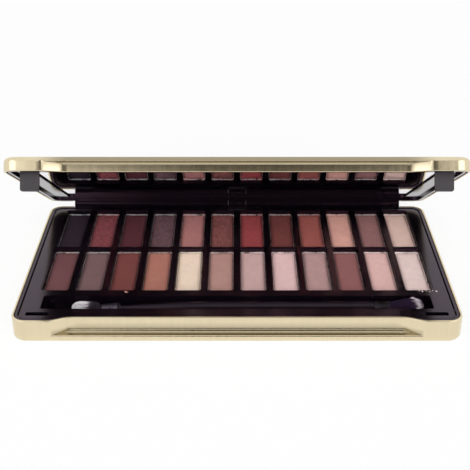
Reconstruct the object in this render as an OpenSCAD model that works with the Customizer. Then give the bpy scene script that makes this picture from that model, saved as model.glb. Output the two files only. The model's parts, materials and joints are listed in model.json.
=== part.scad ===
// Eyeshadow palette in a pressed tin: two rows of pressed powders, a double-ended brush
// in its trough, and a hinged lid with a mirror and two snap latches.
// Millimetres, Z up, origin in the middle of the base's underside, hinge at the back (+Y).

/* [Tin case] */
// Distance from the wells to the side of the case
side_margin = 9.85; // [9.6:0.05:14]
// Distance from the brush trough to the front of the case
front_margin = 12.1; // [11.8:0.1:16]
// Distance from the first row of wells to the back of the case
back_margin = 5.4; // [5:0.1:5.6]
// Height of the base tin, underside to rim
base_h = 11.7; // [11.3:0.1:14]
// Height of the lid tin, rim to top
lid_h = 6.6; // [6.3:0.1:9]
// Corner radius of the case seen from above
corner_r = 7; // [6:0.5:10]
// Radius of the pressed edge round the underside and the top
edge_r = 2.3; // [1.4:0.1:2.4]
// Thickness of the tinplate
tin_t = 0.35; // [0.25:0.05:0.5]
// Width of the folded hem inside each rim
hem_w = 1.3; // [1:0.1:1.6]
// Height of the folded hem
hem_h = 1.4; // [0.8:0.1:1.8]
// Gap between the two rims when the case is shut
rim_gap = 0.4; // [0.2:0.1:0.8]

/* [Finger scoop] */
// Distance from the straight recessed part of the front to the side of the case
scoop_side = 26.5; // [25:0.5:40]
// Length of the slanting ramp at each end of the scoop
scoop_ramp = 8.3; // [5:0.1:10]
// Depth of the scoop into the front wall
scoop_d = 3.6; // [2.5:0.1:4]
// Height of the sill under the scoop on the base
base_sill = 3.9; // [3.3:0.1:5]
// Height of the sill above the scoop on the lid
lid_sill = 2.3; // [2:0.1:3]
// Radius of the cove where the sill meets the recessed wall
cove_r = 1.5; // [1:0.1:1.8]
// Radius of the sill's outer nose
nose_r = 0.8; // [0.7:0.1:1]

/* [Plastic frames] */
// Clearance between the tray and the base's hem
frame_clear = 0.15; // [0.1:0.05:0.3]
// Clearance between the mirror frame and the lid's hem
lid_clear = 0.7; // [0.4:0.05:0.9]
// Width of the raised lip round each frame
lip_w = 1.2; // [0.8:0.1:1.6]
// Width of the fine groove inside the tray's lip
groove_w = 0.8; // [0.5:0.1:1]
// Depth of that groove below the flange
groove_d = 0.6; // [0.3:0.1:0.7]
// Drop from the base's rim to the tray's flange
flange_drop = 0.5; // [0.3:0.1:0.8]
// Drop from the lid's rim to the mirror frame's flange
lid_flange_drop = 1.35; // [1:0.05:1.4]
// Drop from the rim to the top of the lip
lip_drop = 0.1; // [0:0.05:0.2]
// Thickness of the flange plates
plate_t = 1.3; // [1.1:0.1:1.5]
// Thickness of the skirts, boxes and ribs under the flanges
wall_t = 1.1; // [0.9:0.1:1.3]

/* [Powder pans] */
// Number of pans in each row
columns = 12; // [6:1:12]
// Outer width of a pan
pan_w = 12.6; // [11:0.1:12.8]
// Outer length of a pan
pan_l = 42.5; // [38:0.1:42.7]
// Height of a pan
pan_h = 3.4; // [2.5:0.1:3.8]
// Corner radius of a pan
pan_r = 1; // [0.8:0.1:2]
// Thickness of the pan's sheet
pan_t = 0.35; // [0.25:0.05:0.5]
// Gap all round a pan in its well
pan_clear = 0.3; // [0.15:0.05:0.4]
// Wall between two wells of one row
column_wall = 2.9; // [2.2:0.1:3]
// Wall between the two rows of wells
row_wall = 2.1; // [1.4:0.1:2.2]
// Depth of the pan's rim below the flange
pan_sink = 2.1; // [1.2:0.1:2.4]
// Drop from the pan's rim to the pressed powder's edge
powder_drop = 0.35; // [0.2:0.05:0.8]
// Height of the powder's pressed crown above its edge
crown_h = 0.2; // [0.1:0.05:0.3]
// Width of the border round that crown
crown_border = 0.7; // [0.4:0.1:1]
// Width of the shallow step round each well
step_w = 0.5; // [0.3:0.1:0.6]
// Depth of that step
step_d = 0.3; // [0.2:0.1:0.5]

/* [Brush trough] */
// Distance from each end of the trough to the side of the case
trough_end = 12.2; // [11:0.1:16]
// Width of the trough
trough_w = 12.1; // [11.5:0.1:13]
// Height of the trough's floor above the table
trough_floor = 3.6; // [2.5:0.1:4]
// Width of the bar between the front wells and the trough
bar_w = 5.6; // [4:0.1:6]
// Corner radius of the trough
trough_r = 0.9; // [0.5:0.1:3]

/* [Mirror] */
// Distance from the mirror to the side of the case
mirror_side = 11.95; // [10.5:0.05:20]
// Distance from the mirror to the front of the case
mirror_front = 15; // [14.5:0.1:24]
// Distance from the mirror to the back of the case
mirror_back = 9.3; // [8.5:0.1:12]
// Thickness of the glass
mirror_t = 1.8; // [1.2:0.1:2]
// Corner radius of the mirror
mirror_r = 2; // [1:0.5:5]
// Drop from the lid's rim to the glass
mirror_drop = 2.15; // [2:0.05:2.3]
// Thickness of the adhesive sheet behind the glass
tape_t = 0.3; // [0.15:0.05:0.4]
// Margin of the adhesive sheet inside the edge of the glass
tape_margin = 4; // [2:0.5:10]
// Gap all round the mirror in its frame
mirror_clear = 0.3; // [0.15:0.05:0.5]

/* [Hinge] */
// Distance from each end of the hinge to the side of the case
hinge_end = 13; // [11:0.5:30]
// Distance of the hinge pin behind the back wall
hinge_back = 3.8; // [3.7:0.1:5]
// Radius of the barrels
barrel_r = 2.9; // [2.4:0.1:3]
// Diameter of the steel pin
pin_d = 1.6; // [1.2:0.1:2]
// Radial clearance of the pin in the base's knuckles
pin_fit = 0.02; // [0.01:0.01:0.04]
// Radial clearance of the pin in the lid's barrels
pin_play = 0.06; // [0.05:0.01:0.09]
// Length of each of the base's three knuckles
knuckle_l = 10; // [6:0.5:16]
// Gap between neighbouring knuckles, and between a barrel and a leaf
knuckle_gap = 0.3; // [0.25:0.05:0.4]
// Distance of the pin's ends inside the outer knuckles
pin_inset = 0.4; // [0:0.1:1]
// Thickness of the stop heel on the lid's barrels
heel_t = 1.4; // [1:0.1:1.8]
// Reach of the heel beyond the barrel
heel_out = 1; // [0.9:0.05:1.1]
// Angle from shut at which the heel stops the lid
lid_stop = 120; // [100:1:130]

/* [Latches] */
// Width of a latch tab
latch_w = 8.6; // [6:0.1:9.4]
// Length of a latch tab below the lid's rim
latch_l = 8.3; // [6:0.1:8.6]
// Thickness of a latch tab
latch_t = 1.5; // [1.2:0.1:1.7]
// Radius of a tab's lower corners
latch_r = 1.1; // [0.5:0.1:2]
// Distance of a tab's middle from the side of the case
latch_side = 11.6; // [11:0.1:13]
// Distance of a tab's middle from the front of the case
latch_front = 7.5; // [7:0.1:8]
// Height of the snap nib on a tab
nib_h = 0.4; // [0.2:0.05:0.45]
// Length of the slot that takes a tab
slot_l = 10.6; // [10.2:0.1:11]
// Width of that slot
slot_w = 3; // [2.8:0.1:3.2]

/* [Brush] */
// Greatest radius of the handle
handle_r = 3.5; // [3.3:0.1:3.8]
// Radius of the handle's neck at the round tuft
neck_r = 1.6; // [1.3:0.1:2]
// Length of the collar between the neck and its ferrule
collar_l = 2.2; // [1.5:0.1:3]
// Distance between the two fine grooves round the handle
grooves_apart = 52; // [10:1:60]
// Width of a groove
handle_groove_w = 0.5; // [0.3:0.1:0.8]
// Depth of a groove
handle_groove_d = 0.12; // [0.05:0.01:0.2]
// Length of a ferrule
ferrule_l = 7.5; // [6:0.1:9]
// Radius of the left ferrule at the handle
ferrule_r = 3; // [2.6:0.1:3.2]
// Radius of the left ferrule at the hair
ferrule_tip_r = 2.1; // [1.8:0.1:2.4]
// Radius of the right ferrule at the handle
fan_ferrule_r = 3.3; // [3.1:0.1:3.5]
// Radius of the right ferrule at the hair
fan_root_r = 3.1; // [2.8:0.1:3.3]
// Length of the round tuft at the left end
tuft_l = 15; // [12:0.1:16]
// Radius of the round tuft
tuft_r = 3.8; // [3.5:0.1:4.4]
// Length of the flat tuft at the right end
fan_l = 17; // [13:0.1:17]
// Width of the flat tuft
fan_w = 11; // [9:0.1:11.4]
// Thickness of the flat tuft
fan_t = 3; // [2.4:0.1:3.4]
// Lean of the flat tuft from level
fan_lean = 45; // [40:1:60]
// Gap between the left end of the trough and the brush
brush_gap = 13.5; // [6:0.1:14]
// Gap between the brush and the right end of the trough
brush_end = 3.1; // [2:0.1:6]
// Gap between the brush and the trough's floor
brush_rest = 0.15; // [0.1:0.05:0.3]

/* [Pose] */
// Opening of the lid from shut
lid_open = 31.5; // [0:0.5:119]

/* [Hidden] */
rows = 2;
cut = 1;                        // overshoot of a cut past a free face
sliver = 0.02;                  // keeps a rounded cut from lying tangent to a wall
$fn = 64;

pan_fill_gap = 0.04;            // hairline between a powder and its pan's wall

// insets of the frames: their outlines stand clear of the hems, their feet of the pressed edge
frame_in = hem_w + frame_clear;
lid_in = hem_w + lid_clear;
function foot_in(inset) = max(inset + wall_t, edge_r + frame_clear);
flange_z = base_h - flange_drop;
pan_rim_z = flange_z - pan_sink;
well_floor = pan_rim_z - pan_h;

// the wells, in rows from the back
well_w = pan_w + 2 * pan_clear;
well_l = pan_l + 2 * pan_clear;
column_pitch = well_w + column_wall;
row_pitch = well_l + row_wall;
field_w = columns * column_pitch - column_wall;
field_l = rows * row_pitch - row_wall;

// the case, drawn round the wells and the trough
case_w = field_w + 2 * side_margin;
case_d = back_margin + field_l + bar_w + trough_w + front_margin;
field_back = case_d / 2 - back_margin;
function well_x(c) = (c - (columns - 1) / 2) * column_pitch;
function well_y(r) = field_back - well_l / 2 - r * row_pitch;

// the trough, in front of the wells
trough_l = case_w - 2 * trough_end;
trough_y = field_back - field_l - bar_w - trough_w / 2;

// the scoop: a ramp moves sideways by this much for each millimetre of inset
scoop_w = case_w - 2 * scoop_side;
scoop_shift = (sqrt(pow(scoop_ramp, 2) + pow(scoop_d, 2)) - scoop_ramp) / scoop_d;

// the latches
latch_x = case_w / 2 - latch_side;
latch_y = latch_front - case_d / 2;
nib_l = 1.6;                    // height of a nib along its tab
nib_up = 1;                     // distance of a nib from its tab's end

// the hinge
hinge_w = case_w - 2 * hinge_end;
hinge_y = case_d / 2 + hinge_back;
hinge_z = base_h + rim_gap / 2;
leaf_end = hinge_y - barrel_r - knuckle_gap;
leaf_gap = 0.3;                 // from a rim to the leaf that passes through it
notch_gap = 0.3;                // from a leaf to the notch in the tin
arm_gap = 0.4;                  // from the pin's level to an arm
knuckle_x = [-hinge_w / 2, -knuckle_l / 2, hinge_w / 2 - knuckle_l];
barrel_x = [-hinge_w / 2 + knuckle_l + knuckle_gap, knuckle_l / 2 + knuckle_gap];
barrel_l = hinge_w / 2 - 1.5 * knuckle_l - 2 * knuckle_gap;

// the heel points where its corner comes within heel_gap of the base's leaf at the stop
heel_gap = 0.15;
heel_r = barrel_r + heel_out;
heel_reach = barrel_r + knuckle_gap - heel_gap;
heel_turn = 360 - acos(-heel_reach / sqrt(pow(heel_r, 2) + pow(heel_t / 2, 2)))
    + atan(heel_t / 2 / heel_r) + lid_stop;

// the mirror
mirror_w = case_w - 2 * mirror_side;
mirror_d = case_d - mirror_front - mirror_back;
mirror_y = case_d / 2 - mirror_back - mirror_d / 2;
glass_back = mirror_drop + mirror_t;

// the brush: distances along its axis from its left end, which lies lower than its right end
brush_l = trough_l - brush_gap - brush_end;
handle_l = brush_l - tuft_l - 2 * ferrule_l - fan_l;
handle_at = tuft_l + ferrule_l;
fan_at = brush_l - fan_l;
tuft_widest = tuft_l * 0.35;
fan_widest = brush_l - fan_l * 0.3;
fan_half = (fan_w - fan_t) / 2;
brush_lift = trough_floor + brush_rest + tuft_r;
brush_tilt = asin((fan_half * sin(fan_lean) + fan_t / 2 - tuft_r) / (fan_widest - tuft_widest));
swell = 0.33;                   // share of the handle's length over which its neck grows
profile_steps = 28;

// radius of the handle at a share of its length, from its neck
function handle_radius(t) = t < swell
    ? neck_r + (handle_r - neck_r) * (1 - pow(1 - t / swell, 2))
    : handle_r + (fan_ferrule_r - handle_r) * (1 - cos(180 * (t - swell) / (1 - swell))) / 2;
// radius of the round tuft at a share of its length, from its ferrule
function tuft_radius(t) = t < 0.65
    ? tuft_r * (0.78 + 0.22 * sin(90 * t / 0.65))
    : tuft_r * pow(1 - pow((t - 0.65) / 0.35, 2.6), 0.45);

function two_digits(n) = n < 10 ? str("0", n) : str(n);
pan_numbers = [1:rows * columns];

// colours of the powders, left to right, back row first
shades = [
    "#2b262c", "#743a40", "#53303a", "#5c4a4c", "#93605f", "#6f4846",
    "#86393c", "#673a35", "#8d4a42", "#bb8474", "#7b5654", "#c4a496",
    "#6e4a4d", "#74595a", "#703f3a", "#a3695c", "#e0cdb9", "#ab857c",
    "#c3a29e", "#d6b1ae", "#b08f8b", "#895b5b", "#d5aca6", "#dac3bd"];

// ---------- shared shapes ----------

module rounded_plate(w, d, r) {
    square([w - 2 * r, d], center = true);
    square([w, d - 2 * r], center = true);
    for (x = [-1, 1], y = [-1, 1])
        translate([x * (w / 2 - r), y * (d / 2 - r)])
            circle(r);
}

// the scoop seen from above, moved into the case by the inset
module scoop_plan(inset) {
    x = scoop_w / 2 + inset * scoop_shift;
    y = scoop_d + inset - case_d / 2;
    polygon([[-x, y], [x, y], [x + 2 * scoop_ramp, y - 2 * scoop_d], [-x - 2 * scoop_ramp, y - 2 * scoop_d]]);
}

// the case seen from above, shrunk all round by the inset
module outline(inset) {
    difference() {
        rounded_plate(case_w - 2 * inset, case_d - 2 * inset, corner_r - inset);
        scoop_plan(inset);
    }
}

// section of the scoop's cut: a recessed wall, a cove, a sill and its rounded nose
module scoop_section(inset, h, sill) {
    wall = scoop_d + inset - case_d / 2;
    edge = inset - case_d / 2;
    floor_z = sill - inset;
    cove = cove_r + inset;
    nose = nose_r - inset;
    difference() {
        union() {
            translate([edge - scoop_d, floor_z + cove])
                square([wall - edge + scoop_d, h + cut - floor_z - cove]);
            translate([edge - scoop_d, floor_z])
                square([wall - cove - edge + scoop_d, h + cut - floor_z]);
            translate([wall - cove, floor_z + cove])
                circle(cove);
            translate([edge - scoop_d, floor_z - nose])
                square([nose - sliver + scoop_d, nose + sliver]);
        }
        translate([edge + nose - sliver, floor_z - nose])
            circle(nose);
    }
}

module scoop_cut(inset, h, sill) {
    intersection() {
        linear_extrude(h + cut) scoop_plan(inset);
        rotate([90, 0, 90])
            linear_extrude(case_w, center = true) scoop_section(inset, h, sill);
    }
}

// section of a pressed side: a wall that turns into the floor
module pressed_section(r, h, e) {
    square([r - e, h]);
    translate([0, e]) square([r, h - e]);
    translate([r - e, e]) circle(e);
}

// the case as a solid with its rounded lower edge, shrunk by the inset
module pressed_body(inset, h) {
    r = corner_r - inset;
    e = edge_r - inset;
    x = case_w / 2 - corner_r;
    y = case_d / 2 - corner_r;
    translate([-x, -y, 0]) cube([2 * x, 2 * y, h]);
    for (corner = [[x, y, 0], [-x, y, 90], [-x, -y, 180], [x, -y, 270]])
        translate([corner[0], corner[1], 0])
            rotate(corner[2])
                rotate_extrude(angle = 90) pressed_section(r, h, e);
    for (side = [[x, 0, 0, y], [0, y, 90, x], [-x, 0, 180, y], [0, -y, 270, x]])
        translate([side[0], side[1], 0])
            rotate([90, 0, side[2]])
                linear_extrude(2 * side[3], center = true) pressed_section(r, h, e);
}

// one half of the tin, standing on its closed side
module tin_shell(h, sill) {
    difference() {
        pressed_body(0, h);
        scoop_cut(0, h, sill);
        difference() {
            translate([0, 0, tin_t]) pressed_body(tin_t, h - hem_h - tin_t);
            scoop_cut(tin_t, h, sill);
        }
        translate([0, 0, h - hem_h - cut / 4])
            linear_extrude(hem_h + cut) outline(hem_w);
    }
}

// from the lid's own height, rim at zero and top up, to its place on the hinge
module on_lid() {
    translate([0, hinge_y, hinge_z])
        rotate([-lid_open, 0, 0])
            translate([0, -hinge_y, base_h + rim_gap - hinge_z])
                children();
}

// a round bar along X from x, at a height above the pin and a distance behind it
module along_x(x, l, r) {
    translate([x, 0, 0]) rotate([0, 90, 0]) cylinder(h = l, r = r);
}

// ---------- base ----------

module base_tin() {
    color("#c9b98c")
        difference() {
            tin_shell(base_h, base_sill);
            hinge_notch(hinge_z - barrel_r - notch_gap, base_h + cut);
        }
}

// the notch that lets a leaf through the back wall
module hinge_notch(low, high) {
    translate([-hinge_w / 2 - notch_gap, case_d / 2 - 2 * hem_w, low])
        cube([hinge_w + 2 * notch_gap, 3 * hem_w, high - low]);
}

module wells(grow, low) {
    for (c = [0:columns - 1], r = [0:rows - 1])
        translate([well_x(c), well_y(r), low])
            linear_extrude(base_h)
                rounded_plate(well_w + 2 * grow, well_l + 2 * grow, pan_r + pan_clear + grow);
}

// what the tray keeps below its flange: the boxes of the wells and of the trough, and the ribs
module tray_boxes() {
    translate([-field_w / 2 - wall_t, field_back - field_l - wall_t, well_floor - wall_t])
        cube([field_w + 2 * wall_t, field_l + 2 * wall_t, base_h]);
    translate([-trough_l / 2 - wall_t, trough_y - trough_w / 2 - wall_t, trough_floor - wall_t])
        cube([trough_l + 2 * wall_t, trough_w + 2 * wall_t, base_h]);
    for (x = [-1:1])
        translate([x * field_w / 3 - wall_t / 2, -case_d / 2, 0])
            cube([wall_t, case_d, base_h]);
    translate([-case_w / 2, well_y(0.5) - wall_t / 2, 0])
        cube([case_w, wall_t, base_h]);
}

// a frame's block: its outline down to the pressed edge, and its ribs' feet below that
module frame_block(inset, high) {
    translate([0, 0, edge_r]) linear_extrude(high - edge_r) outline(inset);
    translate([0, 0, tin_t]) linear_extrude(edge_r) outline(foot_in(inset));
}

module pan_tray() {
    color("#1b161d")
        difference() {
            union() {
                difference() {
                    frame_block(frame_in, base_h - lip_drop);
                    translate([0, 0, flange_z])
                        linear_extrude(base_h) outline(frame_in + lip_w);
                    translate([0, 0, flange_z - groove_d])
                        linear_extrude(base_h)
                            difference() {
                                outline(frame_in + lip_w);
                                outline(frame_in + lip_w + groove_w);
                            }
                    wells(0, well_floor);
                    wells(step_w, flange_z - step_d);
                    translate([0, trough_y, trough_floor])
                        linear_extrude(base_h) rounded_plate(trough_l, trough_w, trough_r);
                    for (side = [-1, 1])
                        translate([side * latch_x, latch_y, flange_z - plate_t - cut])
                            linear_extrude(base_h) rounded_plate(slot_l, slot_w, slot_w / 5);
                    difference() {
                        linear_extrude(flange_z - plate_t) outline(frame_in + wall_t);
                        tray_boxes();
                    }
                }
                hinge_leaf(frame_in + wall_t, hinge_z - barrel_r, base_h - leaf_gap);
                for (x = knuckle_x) {
                    translate([0, hinge_y, hinge_z])
                        along_x(x, knuckle_l, barrel_r);
                    translate([x, leaf_end - cut, hinge_z - barrel_r])
                        cube([knuckle_l, hinge_y - leaf_end + cut, barrel_r - arm_gap]);
                }
            }
            translate([0, hinge_y, hinge_z])
                along_x(-hinge_w / 2 - cut, hinge_w + 2 * cut, pin_d / 2 + pin_fit);
        }
}

// the leaf that carries the hinge out through the back wall
module hinge_leaf(inset, low, high) {
    translate([-hinge_w / 2, case_d / 2 - inset, low])
        cube([hinge_w, leaf_end - case_d / 2 + inset, high - low]);
}

module hinge_pin() {
    color("silver")
        translate([0, hinge_y, hinge_z])
            along_x(pin_inset - hinge_w / 2, hinge_w - 2 * pin_inset, pin_d / 2);
}

module in_well(n, z) {
    translate([well_x((n - 1) % columns), well_y(floor((n - 1) / columns)), z])
        children();
}

module pan(n) {
    color("#c8c8cc")
        in_well(n, well_floor)
            difference() {
                linear_extrude(pan_h) rounded_plate(pan_w, pan_l, pan_r);
                translate([0, 0, pan_t])
                    linear_extrude(pan_h) rounded_plate(pan_w - 2 * pan_t, pan_l - 2 * pan_t, pan_r - pan_t);
            }
}

// pressed powder: it fills its pan, and its crown stands a little above its edge
module powder(n) {
    fill = pan_t + pan_fill_gap;
    crown = fill + crown_border;
    color(shades[(n - 1) % len(shades)])
        in_well(n, well_floor + pan_t) {
            linear_extrude(pan_h - pan_t - powder_drop)
                rounded_plate(pan_w - 2 * fill, pan_l - 2 * fill, pan_r - fill);
            linear_extrude(pan_h - pan_t - powder_drop + crown_h)
                rounded_plate(pan_w - 2 * crown, pan_l - 2 * crown, pan_r - fill);
        }
}

// ---------- lid ----------

module lid_tin() {
    color("#c9b98c")
        on_lid()
            difference() {
                translate([0, 0, lid_h])
                    mirror([0, 0, 1]) tin_shell(lid_h, lid_sill);
                hinge_notch(-cut, hinge_z + barrel_r + notch_gap - base_h - rim_gap);
            }
}

module mirror_pocket(grow, low, high) {
    translate([0, mirror_y, low])
        linear_extrude(high - low)
            rounded_plate(mirror_w + 2 * mirror_clear + 2 * grow, mirror_d + 2 * mirror_clear + 2 * grow,
                mirror_r + mirror_clear + grow);
}

module mirror_frame() {
    pin_z = hinge_z - base_h - rim_gap;
    color("#1b161d")
        on_lid() {
            difference() {
                union() {
                    difference() {
                        translate([0, 0, lid_h])
                            mirror([0, 0, 1]) frame_block(lid_in, lid_h - lip_drop);
                        translate([0, 0, -cut])
                            linear_extrude(lid_flange_drop + cut) outline(lid_in + lip_w);
                        mirror_pocket(0, 0, glass_back + tape_t);
                        difference() {
                            translate([0, 0, lid_flange_drop + plate_t])
                                linear_extrude(lid_h) outline(lid_in + wall_t);
                            mirror_pocket(wall_t, 0, lid_h + cut);
                        }
                    }
                    hinge_leaf(lid_in + wall_t, leaf_gap, pin_z + barrel_r);
                    for (x = barrel_x) {
                        translate([0, hinge_y, pin_z])
                            along_x(x, barrel_l, barrel_r);
                        translate([x, leaf_end - cut, pin_z + arm_gap])
                            cube([barrel_l, hinge_y - leaf_end + cut, barrel_r - arm_gap]);
                        translate([x, hinge_y, pin_z])
                            rotate([heel_turn, 0, 0])
                                translate([0, 0, -heel_t / 2])
                                    cube([barrel_l, heel_r, heel_t]);
                    }
                }
                translate([0, hinge_y, pin_z])
                    along_x(-hinge_w / 2 - cut, hinge_w + 2 * cut, pin_d / 2 + pin_play);
            }
            for (side = [-1, 1])
                translate([side * latch_x, latch_y, 0])
                    latch_tab();
        }
}

// a tab that hangs from the flange, with rounded lower corners and a nib on its back
module latch_tab() {
    root = lid_flange_drop + plate_t / 2;
    rotate([90, 0, 0])
        linear_extrude(latch_t, center = true) {
            translate([-latch_w / 2, latch_r - latch_l]) square([latch_w, latch_l - latch_r + root]);
            translate([latch_r - latch_w / 2, -latch_l]) square([latch_w - 2 * latch_r, latch_l]);
            for (side = [-1, 1])
                translate([side * (latch_w / 2 - latch_r), latch_r - latch_l]) circle(latch_r);
        }
    translate([0, latch_t / 2, nib_up - latch_l])
        rotate([90, 0, 90])
            linear_extrude(latch_w - 2 * latch_r, center = true)
                polygon([[-cut / 2, 0], [0, 0], [nib_h, nib_l * 0.6], [nib_h, nib_l * 0.8],
                    [0, nib_l], [-cut / 2, nib_l]]);
}

module mirror_glass() {
    color("#d8dde0")
        on_lid()
            translate([0, mirror_y, mirror_drop])
                linear_extrude(mirror_t) rounded_plate(mirror_w, mirror_d, mirror_r);
}

module mirror_tape() {
    color("white")
        on_lid()
            translate([0, mirror_y, glass_back])
                linear_extrude(tape_t)
                    rounded_plate(mirror_w - 2 * tape_margin, mirror_d - 2 * tape_margin, mirror_r);
}

// ---------- brush ----------

// from the brush's own axis, along X from its left end, to its place in the trough
module in_trough() {
    translate([brush_gap - trough_l / 2, trough_y, brush_lift])
        rotate([0, -brush_tilt, 0])
            translate([0, 0, -tuft_widest * tan(brush_tilt)])
                children();
}

// turns a list of [distance, radius] points round X; it faces left when toward is -1
module turned(at, toward, points) {
    in_trough()
        translate([at, 0, 0])
            rotate([0, toward * 90, 0])
                rotate_extrude()
                    polygon(concat([[0, points[0][0]]], [for (p = points) [p[1], p[0]]],
                        [[0, points[len(points) - 1][0]]]));
}

// the neck meets its ferrule in a small collar
module brush_handle() {
    shaft_l = handle_l - collar_l;
    color("#17131a")
        difference() {
            turned(handle_at, 1, concat(
                [[0, ferrule_r * 0.9], [collar_l / 5, ferrule_r * 0.95]],
                [for (i = [0:profile_steps])
                    [collar_l + i / profile_steps * shaft_l, handle_radius(i / profile_steps)]]));
            for (side = [-1, 1])
                turned_groove(handle_at + handle_l / 2 + side * grooves_apart / 2);
        }
}

// a ring cut round the handle
module turned_groove(at) {
    bottom = handle_radius((at - handle_at - collar_l) / (handle_l - collar_l)) - handle_groove_d;
    in_trough()
        translate([at - handle_groove_w / 2, 0, 0])
            difference() {
                along_x(0, handle_groove_w, 2 * handle_r);
                along_x(-cut, handle_groove_w + 2 * cut, bottom);
            }
}

// crimped metal sleeve with a bead next to the handle
module brush_ferrule(at, toward, wide_r, hair_r) {
    bead = 0.8;
    groove = 0.2;
    color("#8d8f94")
        turned(at, toward, [[0, wide_r - groove], [groove, wide_r], [bead, wide_r],
            [bead + groove, wide_r - groove], [2 * bead, wide_r - groove], [ferrule_l, hair_r]]);
}

module brush_tuft_left() {
    color("#d9d3d6")
        turned(tuft_l, -1, [for (i = [0:profile_steps / 2])
            [2 * i / profile_steps * tuft_l,
                i == profile_steps / 2 ? 0 : tuft_radius(2 * i / profile_steps)]]);
}

// a flat tuft: a round root that spreads into a leaning fan with rounded corners
module brush_tuft_right() {
    root_l = 0.6;
    color("#4a3550")
        in_trough()
            translate([fan_at, 0, 0])
                hull() {
                    along_x(0, root_l, fan_root_r);
                    rotate([fan_lean, 0, 0])
                        for (side = [-1, 1], tip = [[0.7, 1], [0.9, 0.72]])
                            translate([fan_l * tip[0], side * fan_half * tip[1], 0])
                                sphere(min(fan_t / 2, fan_l * (1 - tip[0])), $fn = 24);
                }
}

// ---------- nodes ----------

base_tin();
pan_tray();
hinge_pin();
lid_tin();
mirror_frame();
mirror_tape();
mirror_glass();
brush_handle();
brush_ferrule(handle_at, -1, ferrule_r, ferrule_tip_r);  // brush_ferrule_left
brush_ferrule(handle_at + handle_l, 1, fan_ferrule_r, fan_root_r);  // brush_ferrule_right
brush_tuft_left();
brush_tuft_right();
for (n = pan_numbers) {
    pan(n);
    powder(n);
}
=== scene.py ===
"""Looks of a hinged tin eyeshadow palette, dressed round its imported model."""

import json
import math
import random

import bmesh
import bpy
from mathutils import Matrix, Vector


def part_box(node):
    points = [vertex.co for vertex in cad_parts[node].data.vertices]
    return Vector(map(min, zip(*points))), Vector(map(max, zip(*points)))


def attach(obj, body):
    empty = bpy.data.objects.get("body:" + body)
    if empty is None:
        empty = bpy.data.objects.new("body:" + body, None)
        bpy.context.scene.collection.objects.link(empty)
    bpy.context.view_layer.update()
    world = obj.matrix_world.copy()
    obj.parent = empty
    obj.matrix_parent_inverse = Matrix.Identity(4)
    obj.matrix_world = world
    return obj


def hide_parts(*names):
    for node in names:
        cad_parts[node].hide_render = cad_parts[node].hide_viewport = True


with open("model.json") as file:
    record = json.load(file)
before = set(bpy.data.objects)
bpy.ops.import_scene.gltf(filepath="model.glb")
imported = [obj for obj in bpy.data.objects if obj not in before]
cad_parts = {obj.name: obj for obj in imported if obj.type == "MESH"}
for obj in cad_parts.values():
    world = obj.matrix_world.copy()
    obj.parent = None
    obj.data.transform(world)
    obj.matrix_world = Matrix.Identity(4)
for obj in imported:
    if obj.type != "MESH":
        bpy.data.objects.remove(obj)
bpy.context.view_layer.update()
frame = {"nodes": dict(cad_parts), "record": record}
scene = bpy.context.scene
scene.view_settings.view_transform = "Standard"

# ---------------------------------------------------------------- camera
# A long lens looks down into the partly open case from where its user would sit, half a
# metre away and well above the table.
lens = bpy.data.cameras.new("camera")
lens.lens = 76.73
lens.sensor_width = 36
lens.shift_x = -0.0043
lens.shift_y = 0.0876
camera = bpy.data.objects.new("camera", lens)
camera.location = (0, -0.45245, 0.25644)
camera.rotation_euler = (math.radians(60.524), 0, 0)
scene.collection.objects.link(camera)
scene.camera = camera


# ---------------------------------------------------------------- studio
# The case lies on a white table, between white walls with a dim gap in front, and soft light
# shines in low under the lid. The table keeps a soft shadow of the case.
def feed(node, inputs):
    """Sets a node's inputs: each takes a value, a socket, or a node's first output."""
    for name, value in inputs.items():
        if isinstance(value, bpy.types.Node):
            value = value.outputs[0]
        if isinstance(value, bpy.types.NodeSocket):
            node.id_data.links.new(value, node.inputs[name])
        else:
            node.inputs[name].default_value = value


def shader(tree, kind, inputs=None, **settings):
    """A shader node with its settings and inputs."""
    made = tree.nodes.new("ShaderNode" + kind)
    for name, value in settings.items():
        setattr(made, name, value)
    feed(made, inputs or {})
    return made


def maths(tree, operation, *values):
    """A Math node that works on these values."""
    return shader(tree, "Math", dict(enumerate(values)), operation=operation)


def ranged(tree, value, low, high, start, end, kind="LINEAR"):
    """Turns the range from low to high into the one from start to end."""
    return shader(tree, "MapRange", {0: value, 1: low, 2: high, 3: start, 4: end},
                  interpolation_type=kind)


def blended(tree, share, first, second):
    """The colour that runs from the first to the second as the share rises."""
    return shader(tree, "Mix", {0: share, 6: first, 7: second}, data_type="RGBA").outputs[2]


def new_material(name):
    """An empty material; returns it with its tree and its Principled shader."""
    made = bpy.data.materials.new(name)
    made.use_nodes = True
    return made, made.node_tree, made.node_tree.nodes["Principled BSDF"]


def seen_rays(tree):
    """1 for rays from the camera, off gloss and through glass; 0 for those that light things."""
    rays = shader(tree, "LightPath").outputs
    seen = maths(tree, "MAXIMUM", rays["Is Camera Ray"], rays["Is Glossy Ray"])
    seen = maths(tree, "MAXIMUM", seen, rays["Is Transmission Ray"])
    direct = maths(tree, "LESS_THAN", rays["Diffuse Depth"], 0.5)
    return maths(tree, "MULTIPLY", seen, direct)


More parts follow.
